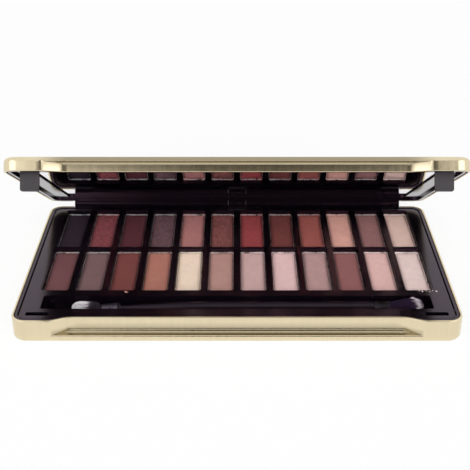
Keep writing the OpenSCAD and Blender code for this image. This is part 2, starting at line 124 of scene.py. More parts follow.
white, warm_dusk = (1, 1, 1, 1), (1, 0.85, 0.62, 1)
room_light, front_light, light_from = 0.3, 7.5, (0, -0.966, 0.259)
light_edge, light_core = 0.68, 0.97
gap_aside, gap_inner, gap_outer, gap_dim = 0.045, 0.13, 0.235, 0.96
room = bpy.data.worlds.new("white_room")
scene.world = room
room.use_nodes = True
room.cycles.sampling_method = "NONE"
tree = room.node_tree
heading = shader(tree, "TexCoord").outputs["Generated"]
low_front = shader(tree, "VectorMath", {0: heading, 1: light_from}, operation="DOT_PRODUCT")
soft_light = ranged(tree, low_front.outputs["Value"], light_edge, light_core, room_light,
                    front_light, "SMOOTHSTEP")
sides = shader(tree, "SeparateXYZ", {0: heading}).outputs
off_middle = maths(tree, "ABSOLUTE", maths(tree, "ADD", sides["X"], -gap_aside))
middle = ranged(tree, off_middle, gap_inner, gap_outer, 1.0, 0.0, "SMOOTHSTEP")
front = ranged(tree, sides["Y"], -0.5, 0.1, gap_dim, 0.0, "SMOOTHSTEP")  # gone to the rear
low = ranged(tree, sides["Z"], 0.72, 0.88, 1.0, 0.0, "SMOOTHSTEP")  # gone overhead
dimming = maths(tree, "MULTIPLY", maths(tree, "MULTIPLY", middle, front), low)
lit = shader(tree, "Background", {"Color": white, "Strength": soft_light})
seen = shader(tree, "Background", {"Color": blended(tree, dimming, white, warm_dusk),
                                   "Strength": maths(tree, "SUBTRACT", 1.0, dimming)})
either = shader(tree, "MixShader", {0: seen_rays(tree), 1: lit, 2: seen})
feed(tree.nodes["World Output"], {"Surface": either})

lamp_w, lamp_h, lamp_power = 0.9, 0.6, 1.8
lamp_x, lamp_y, lamp_z, lamp_aim = 0.812, -0.681, 0.662, Vector((0, 0, 0.02))
for side in (-1, 1):
    lamp = bpy.data.lights.new("soft_box", "AREA")
    lamp.shape = "RECTANGLE"
    lamp.size, lamp.size_y, lamp.energy = lamp_w, lamp_h, lamp_power
    stand = bpy.data.objects.new("soft_box", lamp)
    stand.location = (side * lamp_x, lamp_y, lamp_z)
    stand.rotation_euler = (lamp_aim - stand.location).to_track_quat("-Z", "Y").to_euler()
    scene.collection.objects.link(stand)

bpy.ops.object.select_all(action="DESELECT")
table_w, table_drop, table_glow = 8, 0.0001, 0.85
bpy.ops.mesh.primitive_plane_add(size=table_w, location=(0, 0, -table_drop))
table = bpy.context.object
table.name = "white_table"
paint, tree, face = new_material("matt_white_table")
feed(face, {"Base Color": (0.86, 0.86, 0.86, 1), "Roughness": 0.9})
glow = shader(tree, "Emission", {"Color": white, "Strength": 1.0})
share = maths(tree, "MULTIPLY", seen_rays(tree), table_glow)
painted = shader(tree, "MixShader", {0: share, 1: face, 2: glow})
feed(tree.nodes["Material Output"], {"Surface": painted})
paint.cycles.emission_sampling = "NONE"
table.data.materials.append(paint)


# ---------------------------------------------------------------- base tin
# The lower half of the case: tinplate 0.35 mm thick, drawn in a press, its rim folded in
# as a round hem and its front pushed in as a finger scoop. Champagne lacquer coats it.
def select_only(*pieces):
    """Selects these objects alone; the last becomes the active one."""
    bpy.ops.object.select_all(action="DESELECT")
    for piece in pieces:
        piece.select_set(True)
        bpy.context.view_layer.objects.active = piece


def apply_modifiers(piece):
    """Makes a piece's modifiers part of its mesh."""
    select_only(piece)
    for name in [m.name for m in piece.modifiers]:
        bpy.ops.object.modifier_apply(modifier=name)


def pick(piece, kind, chosen):
    """Selects, in edit mode, the edges or the faces that pass the test."""
    shape = bmesh.from_edit_mesh(piece.data)
    bpy.ops.mesh.select_mode(type=kind)
    bpy.ops.mesh.select_all(action="DESELECT")
    for part in shape.edges if kind == "EDGE" else shape.faces:
        part.select_set(chosen(part))
    bmesh.update_edit_mesh(piece.data)


def soften_scoop(tin, at, up, scoop_deep):
    """Bends the sheet softly into and out of the scoop's two ramps, most at the rim."""
    forward = Vector((0, -up.z, up.y))
    front = max(v.co.dot(forward) for v in tin.data.vertices)
    for bend_x in (ramp_start, ramp_end):
        for share in bend_cuts:
            for side in (-1, 1):
                pick(tin, "FACE",
                     lambda f: front - f.calc_center_median().dot(forward) < scoop_reach)
                cut_x = side * (bend_x + share * bend_half)
                bpy.ops.mesh.bisect(plane_co=(cut_x, 0, 0), plane_no=(1, 0, 0))
    shape = bmesh.from_edit_mesh(tin.data)
    for vertex in shape.verts:
        height = 1 - abs((vertex.co - at).dot(up)) / scoop_deep
        if height > 0 and front - vertex.co.dot(forward) < scoop_reach:
            for bend_x, inwards in ((ramp_start, 1), (ramp_end, -1)):
                off = abs(abs(vertex.co.x) - bend_x)
                if off < bend_half:
                    dip = ramp_slope * (bend_half - off) ** 2 / (4 * bend_half)
                    vertex.co -= forward * (inwards * dip * min(1, height * 1.3))
    bmesh.update_edit_mesh(tin.data)


merge_within, rim_within, flat_within = 2e-6, 3e-5, math.radians(0.3)
edge_angle, smooth_angle = math.radians(35), math.radians(32)


def rounded_copy(name, node, radius, steps=2, rolled=None):
    """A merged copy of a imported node, its edges rounded and its wide faces kept dead flat. A tin
    gives its rim's place and direction and its scoop's depth; it is first bent round the scoop
    and hemmed."""
    copy = bpy.data.objects.new(name, frame["nodes"][node].data.copy())
    scene.collection.objects.link(copy)
    copy.data.materials.clear()
    select_only(copy)
    bpy.ops.object.mode_set(mode="EDIT")
    bpy.ops.mesh.select_all(action="SELECT")
    bpy.ops.mesh.remove_doubles(threshold=merge_within)
    bpy.ops.mesh.dissolve_limited(angle_limit=flat_within)
    if rolled:
        at, up, scoop_deep = rolled
        soften_scoop(copy, at, up, scoop_deep)
        pick(copy, "EDGE", lambda e: all(abs((v.co - at).dot(up)) < rim_within for v in e.verts))
        bpy.ops.mesh.bevel(offset=hem_round, segments=4, affect="EDGES", clamp_overlap=True)
    bpy.ops.object.mode_set(mode="OBJECT")
    rounding = copy.modifiers.new("rounded_edges", "BEVEL")
    rounding.width = radius
    rounding.segments = steps
    rounding.limit_method = "ANGLE"
    rounding.angle_limit = edge_angle
    apply_modifiers(copy)
    bpy.ops.object.shade_smooth_by_angle(angle=smooth_angle)
    weights = copy.modifiers.new("flat_faces", "WEIGHTED_NORMAL")
    weights.keep_sharp = True
    weights.weight = 100
    apply_modifiers(copy)
    return copy


def finish_piece(piece, finish, body, slot, *nodes):
    """Coats a piece, fixes it to its body, and hides the imported nodes it stands for; the slot is
    not used.
    """
    piece.data.materials.append(finish)
    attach(piece, body)
    if nodes:
        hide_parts(*nodes)


def linear(hex_colour):
    """A colour as a paint card writes it, turned to linear light."""
    parts = [int(hex_colour[i:i + 2], 16) / 255 for i in (1, 3, 5)]
    return (*[p / 12.92 if p <= 0.04045 else ((p + 0.055) / 1.055) ** 2.4 for p in parts], 1)


def scaled(tree, colour, factor):
    """A colour made lighter or darker by a factor."""
    return shader(tree, "VectorMath", {0: colour, "Scale": factor}, operation="SCALE")


def noise(tree, place, scale, detail=2.0, **more):
    """Soft random patches, about as many to the metre as the scale says."""
    return shader(tree, "TexNoise", {"Vector": place, "Scale": scale, "Detail": detail, **more})


def bumped(tree, height, strength, distance, **more):
    """Normals that follow a fine relief of this height."""
    return shader(tree, "Bump", {"Height": height, "Strength": strength, "Distance": distance,
                                 **more})


def new_group(name, inputs, outputs):
    """An empty node group; returns it with the sockets of its inputs and its output node."""
    group = bpy.data.node_groups.new(name, "ShaderNodeTree")
    for label, kind, value in inputs:
        socket = group.interface.new_socket(label, in_out="INPUT", socket_type="NodeSocket" + kind)
        socket.default_value = value
    for label, kind in outputs:
        group.interface.new_socket(label, in_out="OUTPUT", socket_type="NodeSocket" + kind)
    return group, group.nodes.new("NodeGroupInput").outputs, group.nodes.new("NodeGroupOutput")


# rolling grain: soft cloudy patches and a fine grain, for lacquer, plastic and metal sheet
grain, given, result = new_group(
    "surface_grain",
    [("Colour", "Color", white), ("Patch size", "Float", 60.0), ("Grain size", "Float", 2500.0),
     ("Tint", "Float", 0.06), ("Roughness", "Float", 0.3), ("Roughness change", "Float", 0.05)],
    [("Colour", "Color"), ("Roughness", "Float"), ("Grain", "Float")])
place = shader(grain, "TexCoord").outputs["Object"]
patches = noise(grain, place, given["Patch size"], 3.0)
grains = noise(grain, place, given["Grain size"])
swing = ranged(grain, maths(grain, "ADD", patches, grains), 0.6, 1.4, -1.0, 1.0)
shift = maths(grain, "MULTIPLY_ADD", swing, given["Tint"], 1.0)
rough = maths(grain, "MULTIPLY_ADD", swing, given["Roughness change"], given["Roughness"])
feed(result, {"Colour": scaled(grain, given["Colour"], shift), "Roughness": rough,
              "Grain": grains})

# hair scratches: thin lines that run along X and are short, faint and far apart
scratches, given, result = new_group("hair_scratches", [("Density", "Float", 0.5)],
                                     [("Mask", "Float")])
place = shader(scratches, "TexCoord").outputs["Object"]
bend = noise(scratches, place, 25.0).outputs["Color"]
bent = shader(scratches, "VectorMath", {0: bend, 1: (0.01, 0.01, 0.01), 2: place},
              operation="MULTIPLY_ADD")
drawn = shader(scratches, "Mapping", {"Vector": bent, "Rotation": (0.3, 0.2, 0.7),
                                      "Scale": (60, 2600, 2600)})
floor_at = ranged(scratches, given["Density"], 0.0, 1.0, 0.8, 0.6)
lines = noise(scratches, drawn, 1.0, 1.0)
feed(result, {"Mask": ranged(scratches, lines, floor_at, 0.82, 0.0, 1.0)})


def grained(name, card, patch, fine, tint, roughness, change, bump=None):
    """A material of one colour with surface grain, whose bump is a strength and a depth;
    returns it with its tree, its Principled shader and the grain's sockets."""
    made, tree, face = new_material(name)
    grains = shader(tree, "Group", {
        "Colour": linear(card), "Patch size": patch, "Grain size": fine, "Tint": tint,
        "Roughness": roughness, "Roughness change": change}, node_tree=grain).outputs
    feed(face, {"Base Color": grains["Colour"], "Roughness": grains["Roughness"]})
    if bump:
        feed(face, {"Normal": bumped(tree, grains["Grain"], *bump)})
    return made, tree, face, grains


def kept_in(tree, mask, bands, kind="LINEAR"):
    """The mask inside these bands: each has a measure, where it starts and where it is full."""
    for measure, start, full in bands:
        mask = maths(tree, "MULTIPLY", mask, ranged(tree, measure, start, full, 0.0, 1.0, kind))
    return mask


def champagne_lacquer(name, front, rim, deep, tilt, fold=None):
    """Warm pale gold lacquer over tinplate that was brushed across its walls before it was
    drawn. Its colour carries painted shade in the scoop's inner bend, most at its ends, and a
    painted dark reflection over the lid's front fold."""
    made, tree, face, grains = grained(name, "#e1d3b2", patch=45.0, fine=1800.0, tint=0.02,
                                       roughness=0.22, change=0.02)
    place = shader(tree, "TexCoord").outputs["Object"]
    drawn = shader(tree, "Mapping", {"Vector": place, "Rotation": (tilt, 0, 0)})
    axes = shader(tree, "SeparateXYZ", {0: drawn}).outputs
    above = maths(tree, "ADD", axes["Z"], -rim)
    depth = maths(tree, "ABSOLUTE", above)
    behind = maths(tree, "ADD", axes["Y"], front)
    across = maths(tree, "ABSOLUTE", axes["X"])
    # painted shade: the lacquer's colour is darkened in the scoop's inner bend, stronger towards
    # its ends
    ends = ranged(tree, across, 0.077, 0.0805, 0.33, 0.55)
    inner = maths(tree, "ADD", depth, ranged(tree, across, 0.074, 0.08, 0.0, -0.0022))
    painted_scoop_shade = kept_in(tree, ends, [
        (inner, deep - 0.0058, deep - 0.0022),  # from the wall down into the bend
        (depth, deep + 0.0003, deep - 0.0001),  # no lower than the scoop's foot
        (behind, 0.0001, 0.0006), (behind, 0.006, 0.005),  # on the pushed-in sheet alone
        (across, 0.0872, 0.0866)])  # not past the ramps
    long = shader(tree, "VectorMath", {0: drawn, 1: (520, 520, 18)}, operation="MULTIPLY")
    brushed = noise(tree, long, 1.0, 4.0, Roughness=0.6)
    streak = ranged(tree, brushed, 0.3, 0.7, 0.975, 1.02)
    light = maths(tree, "MULTIPLY", maths(tree, "SUBTRACT", 1.0, painted_scoop_shade), streak)
    if fold:
        # painted dark reflection: the lacquer's colour falls to half round the lid's front fold
        painted_fold_reflection = kept_in(tree, 1.0, [
            (above, fold, fold + 0.0008), (behind, 0.0026, 0.0016),  # round the fold
            (across, 0.092, 0.074)], "SMOOTHSTEP")  # fading out towards the corners
        light = maths(tree, "MULTIPLY", light, ranged(tree, painted_fold_reflection, 0.0, 1.0, 1.0, 0.5))
    marks = shader(tree, "Group", {"Density": 0.45}, node_tree=scratches)
    worn = maths(tree, "MULTIPLY_ADD", marks, 0.04, grains["Roughness"])
    rough = maths(tree, "ADD", ranged(tree, brushed, 0.3, 0.7, -0.02, 0.02), worn)
    wavy = bumped(tree, noise(tree, place, 130.0, 1.0), 0.3, 0.0002)
    feed(face, {"Base Color": scaled(tree, grains["Colour"], light), "Roughness": rough,
                "Normal": bumped(tree, brushed, 0.02, 0.0002, Normal=wavy), "Metallic": 1.0})
    return made


hem_round, tin_edge = 0.00045, 0.00015
ramp_start, ramp_end, ramp_slope, bend_half = 0.0868, 0.0785, 0.434, 0.0028
bend_cuts = (-1, -0.67, -0.33, 0.33, 0.67, 1)
scoop_reach, base_scoop_deep = 0.0056, 0.0084
tin_low, tin_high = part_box("base_tin")
rim_z = tin_high.z
base_shell = rounded_copy("base_tin_shell", "base_tin", tin_edge, rolled=(
    Vector((0, 0, rim_z)), Vector((0, 0, 1)), base_scoop_deep))
base_lacquer = champagne_lacquer("champagne_lacquer_base", -tin_low.y, rim_z, base_scoop_deep,
                                 tilt=0)
finish_piece(base_shell, base_lacquer, "base", "lacquered_tin", "base_tin")

# ---------------------------------------------------------------- lid tin
# The upper half of the case: the same pressing and lacquer, shallower, with its own finger
# scoop. The mirror frame clips into it and carries it on the hinge.
hinge = next(j for j in frame["record"]["behaviour"]["joints"] if j["name"] == "lid_hinge")
hinge_at = Vector(hinge["pos_m"])
lid_open = math.radians(-hinge["range_deg"][0])
lid_up = Vector((0, math.sin(lid_open), math.cos(lid_open)))
lid_rim = hinge_at + lid_up * (hinge_at.z - rim_z)
lid_scoop_deep, lid_fold = 0.0047, 0.004
lid_shell = rounded_copy("lid_tin_shell", "lid_tin", tin_edge,
                         rolled=(lid_rim, lid_up, lid_scoop_deep))
lid_front = max(v.co.z * lid_up.y - v.co.y * lid_up.z for v in lid_shell.data.vertices)
lid_lacquer = champagne_lacquer("champagne_lacquer_lid", lid_front, lid_rim.dot(lid_up),
                                lid_scoop_deep, tilt=lid_open, fold=lid_fold)
finish_piece(lid_shell, lid_lacquer, "lid", "lacquered_tin", "lid_tin")

# ---------------------------------------------------------------- pan tray
# One injection moulding in black gloss polystyrene, clipped into the base tin. It holds
# the pans in 24 stepped wells, the brush in a trough and the latches in two slots.
# Loose powder lies on it as fine specks, as it does on any palette in use.
specks, given, result = new_group(
    "powder_specks", [("Density", "Float", 0.5), ("Size", "Float", 1500.0)], [("Mask", "Float")])
place = shader(specks, "TexCoord").outputs["Object"]
dots = shader(specks, "TexVoronoi", {"Vector": place, "Scale": given["Size"]})
drifts = ranged(specks, noise(specks, place, 70.0, 3.0), 0.52, 0.75, 0.0, 0.42)
reach = maths(specks, "MULTIPLY", drifts, given["Density"])
feed(result, {"Mask": maths(specks, "LESS_THAN", dots.outputs["Distance"], reach)})


def black_gloss(name, roughness, wear):
    """Black polystyrene off a polished mould: a hint of purple, faint flow, a little dust."""
    made, tree, face, grains = grained(name, "#070408", patch=90.0, fine=700.0, tint=0.12,
                                       roughness=roughness, change=0.03, bump=(0.03, 0.0003))
    marks = shader(tree, "Group", {"Density": 0.6}, node_tree=scratches)
    dust = shader(tree, "Group", {"Density": 0.5 * wear, "Size": 1700.0}, node_tree=specks)
    rough = maths(tree, "MULTIPLY_ADD", marks, 0.15 * wear, grains["Roughness"])
    feed(face, {"Base Color": blended(tree, dust, grains["Colour"], linear("#7d6a68")),
                "Roughness": maths(tree, "MULTIPLY_ADD", dust, 0.5, rough),
                "Specular Tint": (1.0, 0.62, 0.9, 1)})
    return made


mould_edge = 0.00022
tray = rounded_copy("pan_tray_moulding", "pan_tray", mould_edge)
tray_gloss = black_gloss("black_gloss_tray", roughness=0.18, wear=1.0)
finish_piece(tray, tray_gloss, "base", "black_gloss", "pan_tray")

# ---------------------------------------------------------------- mirror frame
# The lid's moulding, of the same black polystyrene: a shallow pocket for the mirror, the
# barrels of the hinge, and two latch tabs, etched satin, that snap into the tray's slots.
mirror_frame = rounded_copy("mirror_frame_moulding", "mirror_frame", mould_edge)
knuckle_l, knuckle_gap, barrel_reach, barrel_closer = 0.01, 0.0003, 0.0042, 0.00025
latch_reach, latch_below, pin_short, end_slack = 0.02, 0.0008, 0.0004, 0.00001
hinge_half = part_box("hinge_pin")[1].x + pin_short
barrel_ends = ((knuckle_l / 2 + knuckle_gap, -1), (hinge_half - knuckle_l - knuckle_gap, 1))
for vertex in mirror_frame.data.vertices:  # the barrels nearly touch the knuckles beside them
    from_axis = (vertex.co - hinge_at) * Vector((0, 1, 1))
    if from_axis.length < barrel_reach:
        for barrel_end, outwards in barrel_ends:
            if 0 <= (barrel_end - abs(vertex.co.x)) * outwards + end_slack < knuckle_gap:
                vertex.co.x += math.copysign(barrel_closer, vertex.co.x) * outwards
frame_gloss = black_gloss("black_gloss_frame", roughness=0.1, wear=0.3)
finish_piece(mirror_frame, frame_gloss, "lid", "black_gloss", "mirror_frame")
mirror_frame.data.materials.append(grained(
    "black_satin_latch", "#292429", patch=160.0, fine=2600.0, tint=0.1, roughness=0.42,
    change=0.06, bump=(0.25, 0.0002))[0])
for polygon in mirror_frame.data.polygons:  # what hangs below the rim in front is latch
    ahead = polygon.center.z * lid_up.y - polygon.center.y * lid_up.z
    below = (lid_rim - polygon.center).dot(lid_up)
    if lid_front - ahead < latch_reach and below > latch_below:
        polygon.material_index = 1

# ---------------------------------------------------------------- hinge pin
# A straight length of drawn steel wire, cut off and deburred, pushed through the
# knuckles of the tray and the barrels of the mirror frame.
pin_edge = 0.0002
pin = rounded_copy("hinge_pin_wire", "hinge_pin", pin_edge)
wire, tree, face = new_material("drawn_steel_wire")
place = shader(tree, "TexCoord").outputs["Object"]
drawn = shader(tree, "Mapping", {"Vector": place, "Scale": (8, 3000, 3000)})
lines = noise(tree, drawn, 1.0, 3.0)
feed(face, {"Base Color": blended(tree, lines, linear("#8f9094"), linear("#cfd0d3")),
            "Normal": bumped(tree, lines, 0.2, 0.0001), "Metallic": 1.0, "Roughness": 0.28})
finish_piece(pin, wire, "base", "steel_wire", "hinge_pin")

# ---------------------------------------------------------------- mirror
# Float glass 1.8 mm thick, silvered on its back, cut square and ground along its edges.
# A sheet of double-sided tape holds it in the frame's pocket.
glass_edge, tape_edge = 0.0003, 0.00004
mirror = rounded_copy("mirror_glass_sheet", "mirror_glass", glass_edge)
silver, _, face, _ = grained("silvered_glass", "#e8e4e8", patch=30.0, fine=400.0, tint=0.01,
                             roughness=0.012, change=0.008)
feed(face, {"Metallic": 1.0})
finish_piece(mirror, silver, "lid", "mirror", "mirror_glass")
mirror.data.materials.append(grained(
    "ground_glass_edge", "#6f8078", patch=200.0, fine=3000.0, tint=0.15, roughness=0.35,
    change=0.1, bump=(0.4, 0.0001))[0])
widest = max(mirror.data.polygons, key=lambda p: p.area)
for polygon in mirror.data.polygons:  # the two wide faces are silvered, the edges ground
    polygon.material_index = 0 if abs(polygon.normal.dot(widest.normal)) > 0.9 else 1

tape = rounded_copy("mirror_tape_sheet", "mirror_tape", tape_edge, steps=1)
finish_piece(tape, grained("double_sided_tape", "#e6e3da", patch=120.0, fine=2200.0, tint=0.08,
                           roughness=0.7, change=0.1, bump=(0.5, 0.0001))[0],
             "lid", "adhesive_sheet", "mirror_tape")

# ---------------------------------------------------------------- pans
# 24 trays drawn from thin aluminium sheet with a trimmed rim, glued into their wells. Powder
# clings to the rims and tints them: each shade has its colour and its share of mica.
shades = {
    "charcoal": ("#2c212b", 0.0), "garnet": ("#723b40", 0.5), "plum": ("#502a30", 0.05),
    "pewter": ("#5a4348", 0.5), "rosewood": ("#9a6966", 0.1), "bronze": ("#6e423f", 0.5),
    "brick": ("#853b3d", 0.15), "chestnut": ("#653633", 0.1), "copper": ("#8b4d47", 0.15),
    "peach": ("#c19286", 0.08), "taupe": ("#825e5c", 0.12), "champagne": ("#ccafa4", 0.05),
    "mulberry": ("#684345", 0.04), "dove": ("#6e5556", 0.06), "cinnamon": ("#6e3d3a", 0.05),
    "clay": ("#9d695c", 0.05), "ivory": ("#dac6b2", 0.02), "rose": ("#a47f77", 0.06),
    "lilac": ("#b69794", 0.03), "petal": ("#ceaeac", 0.03), "mauve": ("#a48482", 0.06),
    "raisin": ("#845756", 0.04), "blush": ("#cda8a3", 0.03), "pearl": ("#d5bfba", 0.03)}
first_low, first_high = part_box("pan_01")
pan_size = first_high - first_low
pan_middle = (first_low + first_high) / 2
pan_sheet, pan_corner = 0.00035, 0.001
floor_bend, rim_inside, rim_outside, level_within = 0.0006, 0.00027, 0.00006, 1e-6


def bevel_edges(piece, chosen, offset, steps):
    """Rounds the edges that pass the test."""
    pick(piece, "EDGE", chosen)
    bpy.ops.mesh.bevel(offset=offset, segments=steps, affect="EDGES")


def tray_block(name, size, middle, corner, steps):
    """A flat block with rounded upright corners, left in edit mode with its top selected."""
    bpy.ops.object.select_all(action="DESELECT")
    bpy.ops.mesh.primitive_cube_add(size=1, location=middle, scale=size)
    block = bpy.context.object
    block.name = name
    bpy.ops.object.transform_apply(location=True, rotation=True, scale=True)
    bpy.ops.object.mode_set(mode="EDIT")
    bevel_edges(block, lambda e: abs(e.verts[0].co.z - e.verts[1].co.z) > size.z / 2,
                corner, steps)
    pick(block, "FACE", lambda f: f.normal.z > 0.9)
    return block


def on_outline(a, b):
    """Whether an edge of the pan lies on its outer outline, rather than on the inner one."""
    middle = (a.co + b.co) / 2 - pan_middle
    reach = Vector((abs(middle.x) - pan_size.x / 2 + pan_corner,
                    abs(middle.y) - pan_size.y / 2 + pan_corner))
    past = reach.length if min(reach) > 0 else max(reach)
    return past > pan_corner - pan_sheet / 2


def on_rim(edge):
    """Whether an edge lies in the pan's top face."""
    return min(v.co.z for v in edge.verts) > first_high.z - level_within


first_pan = tray_block("pan_model", pan_size, pan_middle, pan_corner, steps=6)
bpy.ops.mesh.inset(thickness=pan_sheet)
bpy.ops.mesh.extrude_region_move(TRANSFORM_OT_translate={"value": (0, 0, pan_sheet - pan_size.z)})
bevel_edges(first_pan, lambda e: max(v.co.z for v in e.verts) < first_low.z + level_within,
            floor_bend, steps=3)
bevel_edges(first_pan, lambda e: on_rim(e) and not on_outline(*e.verts), rim_inside, steps=3)
bevel_edges(first_pan, lambda e: on_rim(e) and on_outline(*e.verts), rim_outside, steps=2)
bpy.ops.object.mode_set(mode="OBJECT")
bpy.ops.object.shade_smooth_by_angle(angle=math.radians(35))

sheet, tree, face, metal = grained("drawn_aluminium", "#ecebec", patch=300.0, fine=4000.0,
                                   tint=0.08, roughness=0.26, change=0.06)
place = shader(tree, "TexCoord").outputs["Object"]
powder_tone = shader(tree, "Attribute", attribute_name="powder_tone").outputs["Color"]
cling = noise(tree, place, 420.0, 4.0, Roughness=0.7)
coated = ranged(tree, cling, 0.44, 0.6, 0.0, 0.85)
pale = blended(tree, 0.35, powder_tone, white)
tinted = blended(tree, 0.7, metal["Colour"], pale)
feed(face, {"Base Color": blended(tree, coated, tinted, powder_tone),
            "Metallic": maths(tree, "SUBTRACT", 1.0, coated),
            "Roughness": maths(tree, "MULTIPLY_ADD", coated, 0.5, metal["Roughness"])})

for number, (card, mica) in enumerate(shades.values(), 1):
    node = f"pan_{number:02d}"
    pan = bpy.data.objects.new(f"{node}_tray", first_pan.data.copy())
    pan.data.transform(Matrix.Translation(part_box(node)[0] - first_low))
    scene.collection.objects.link(pan)
    tone = pan.data.attributes.new("powder_tone", "FLOAT_COLOR", "POINT")
    tone.data.foreach_set("color", list(linear(card)) * len(pan.data.vertices))
    finish_piece(pan, sheet, "base", "pan_metal", node)
bpy.data.objects.remove(first_pan)

# ---------------------------------------------------------------- powders
# Talc, mica and pigment pressed into each pan by a stamp with a bevelled edge, which
# leaves a shallow channel inside the rim. Some shades are matt, some satin, some metallic.
cake_low, cake_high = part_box("powder_01")
cake_size = cake_high - cake_low
cake_middle = (cake_low + cake_high) / 2
crown_rise, cake_corner, channel_share = 0.0005, 0.0006, 0.95
first_cake = tray_block(
    "cake_model", Vector((cake_size.x, cake_size.y, cake_size.z - crown_rise)),
    cake_middle - Vector((0, 0, crown_rise / 2)), cake_corner, steps=4)
wide, long = cake_size.x / 2, cake_size.y / 2
cake_steps = ((0.00012, 0), (0.00022, -0.00005), (0.00026, 0.00024), (0.00024, 0.00019),
              (0.0012, 0.00012))  # inwards and up, from the rim to the crown
for border, step in cake_steps:
    bpy.ops.mesh.extrude_region_move(TRANSFORM_OT_translate={"value": (0, 0, step)})
    bpy.ops.transform.resize(value=((wide - border) / wide, (long - border) / long, 1),
                             center_override=cake_middle)
    wide, long = wide - border, long - border
bpy.ops.object.mode_set(mode="OBJECT")
bpy.ops.object.shade_smooth_by_angle(angle=math.radians(60))
channel_top = cake_high.z - crown_rise * channel_share
channel = first_cake.data.attributes.new("channel", "FLOAT", "POINT")
channel.data.foreach_set("value", [float(v.co.z < channel_top) for v in first_cake.data.vertices])

# pressed grain: colour mottle, a felted bump, and flecks of mica that catch the light
pressed, given, result = new_group(
    "pressed_grain",
    [("Colour", "Color", white), ("Mottle", "Float", 0.08), ("Mica", "Float", 0.0)],
    [("Colour", "Color"), ("Roughness", "Float"), ("Flecks", "Float"), ("Height", "Float")])
place = shader(pressed, "TexCoord").outputs["Object"]
clouds = noise(pressed, place, 260.0, 4.0)
satin = noise(pressed, place, 850.0, 2.0, Distortion=1.5)
felt = noise(pressed, place, 1900.0, 4.0)
cells = shader(pressed, "TexVoronoi", {"Vector": place, "Scale": 4200.0})
swing = ranged(pressed, maths(pressed, "ADD", clouds, felt), 0.6, 1.4, -1.0, 1.0)
shift = maths(pressed, "MULTIPLY_ADD", swing, given["Mottle"], 1.0)
sheen = ranged(pressed, satin, 0.38, 0.62, -0.8, 0.8)
shimmer = maths(pressed, "MULTIPLY_ADD", sheen, given["Mica"], shift)
toned = scaled(pressed, given["Colour"], shimmer)
pick_cell = shader(pressed, "SeparateColor", {0: cells.outputs["Color"]})
chosen = ranged(pressed, pick_cell, 0.55, 1.0, 0.0, 1.0)
flecks = maths(pressed, "MULTIPLY", chosen, given["Mica"])
glint = shader(pressed, "VectorMath", {0: toned, 1: (2.2, 1.9, 1.8), 2: (0.06, 0.04, 0.04)},
               operation="MULTIPLY_ADD")
feed(result, {"Colour": blended(pressed, flecks, toned, glint),
              "Roughness": ranged(pressed, flecks, 0.0, 1.0, 0.62, 0.3),
              "Flecks": flecks, "Height": felt})

for number, (card, mica) in enumerate(shades.values(), 1):
    node = f"powder_{number:02d}"
    cake = bpy.data.objects.new(f"{node}_cake", first_cake.data.copy())
    cake.data.transform(Matrix.Translation(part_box(node)[0] - cake_low))
    scene.collection.objects.link(cake)
    powder, tree, face = new_material(f"pressed_{node}")
    pressing = shader(tree, "Group", {"Colour": linear(card), "Mottle": 0.09 + 0.12 * mica,
                                      "Mica": mica}, node_tree=pressed).outputs
    groove = shader(tree, "Attribute", attribute_name="channel").outputs["Fac"]
    # painted shade: the powder's colour is made 55% darker in the channel inside the rim
    deep = maths(tree, "MULTIPLY_ADD", groove, -0.55, 1.0)
    feed(face, {"Base Color": scaled(tree, pressing["Colour"], deep),
                "Roughness": pressing["Roughness"],
                "Metallic": maths(tree, "MULTIPLY", pressing["Flecks"], 0.6),
                "Normal": bumped(tree, pressing["Height"], 0.5, 0.0002),
                "Specular IOR Level": 0.15})
    finish_piece(cake, powder, "base", f"shade_{number:02d}", node)
bpy.data.objects.remove(first_cake)

# ---------------------------------------------------------------- loose crumbs
# Crumbs of cake of the tenth and the last shade, flicked out by a brush. They lie on the
# tray just in front of the wells.
bpy.ops.object.select_all(action="DESELECT")
bpy.ops.mesh.primitive_ico_sphere_add(subdivisions=2, radius=1, location=(0, 0, 0))
crumb = bpy.context.object
bpy.ops.object.mode_set(mode="EDIT")
bpy.ops.mesh.select_all(action="SELECT")
bpy.ops.transform.vertex_random(offset=0.3, seed=4)
bpy.ops.transform.resize(value=(1.2, 0.9, 0.6), center_override=(0, 0, 0))
bpy.ops.object.mode_set(mode="OBJECT")
crumb_rise, crumb_turn, drop_from = 0.45, 1.9, 0.03
spilt = {  # shade: where each crumb lies, and its size
    10: [(-0.0537, -0.0343, 0.0005), (-0.0528, -0.0346, 0.0002), (-0.0546, -0.034, 0.00014)],
    24: [(0.0884, -0.0331, 0.0003), (0.0897, -0.0338, 0.0004), (0.0917, -0.0333, 0.00022),
         (0.0934, -0.0338, 0.00018), (0.0948, -0.0329, 0.00026), (0.0966, -0.0336, 0.00038)]}
for number, spots in spilt.items():
    heap = []
    for turn, (x, y, size) in enumerate(spots):
        top = tray.ray_cast(Vector((x, y, drop_from)), Vector((0, 0, -1)))[1]
        bit = bpy.data.objects.new(f"powder_{number:02d}_crumbs", crumb.data.copy())
        bit.data.transform(Matrix.Translation(top + Vector((0, 0, size * crumb_rise)))
                           @ Matrix.Rotation(turn * crumb_turn, 4, "Z") @ Matrix.Scale(size, 4))
        scene.collection.objects.link(bit)
        heap.append(bit)
    select_only(*heap)
    bpy.ops.object.join()
    finish_piece(heap[-1], bpy.data.materials[f"pressed_powder_{number:02d}"], "base",
                 f"shade_{number:02d}")
bpy.data.objects.remove(crumb)

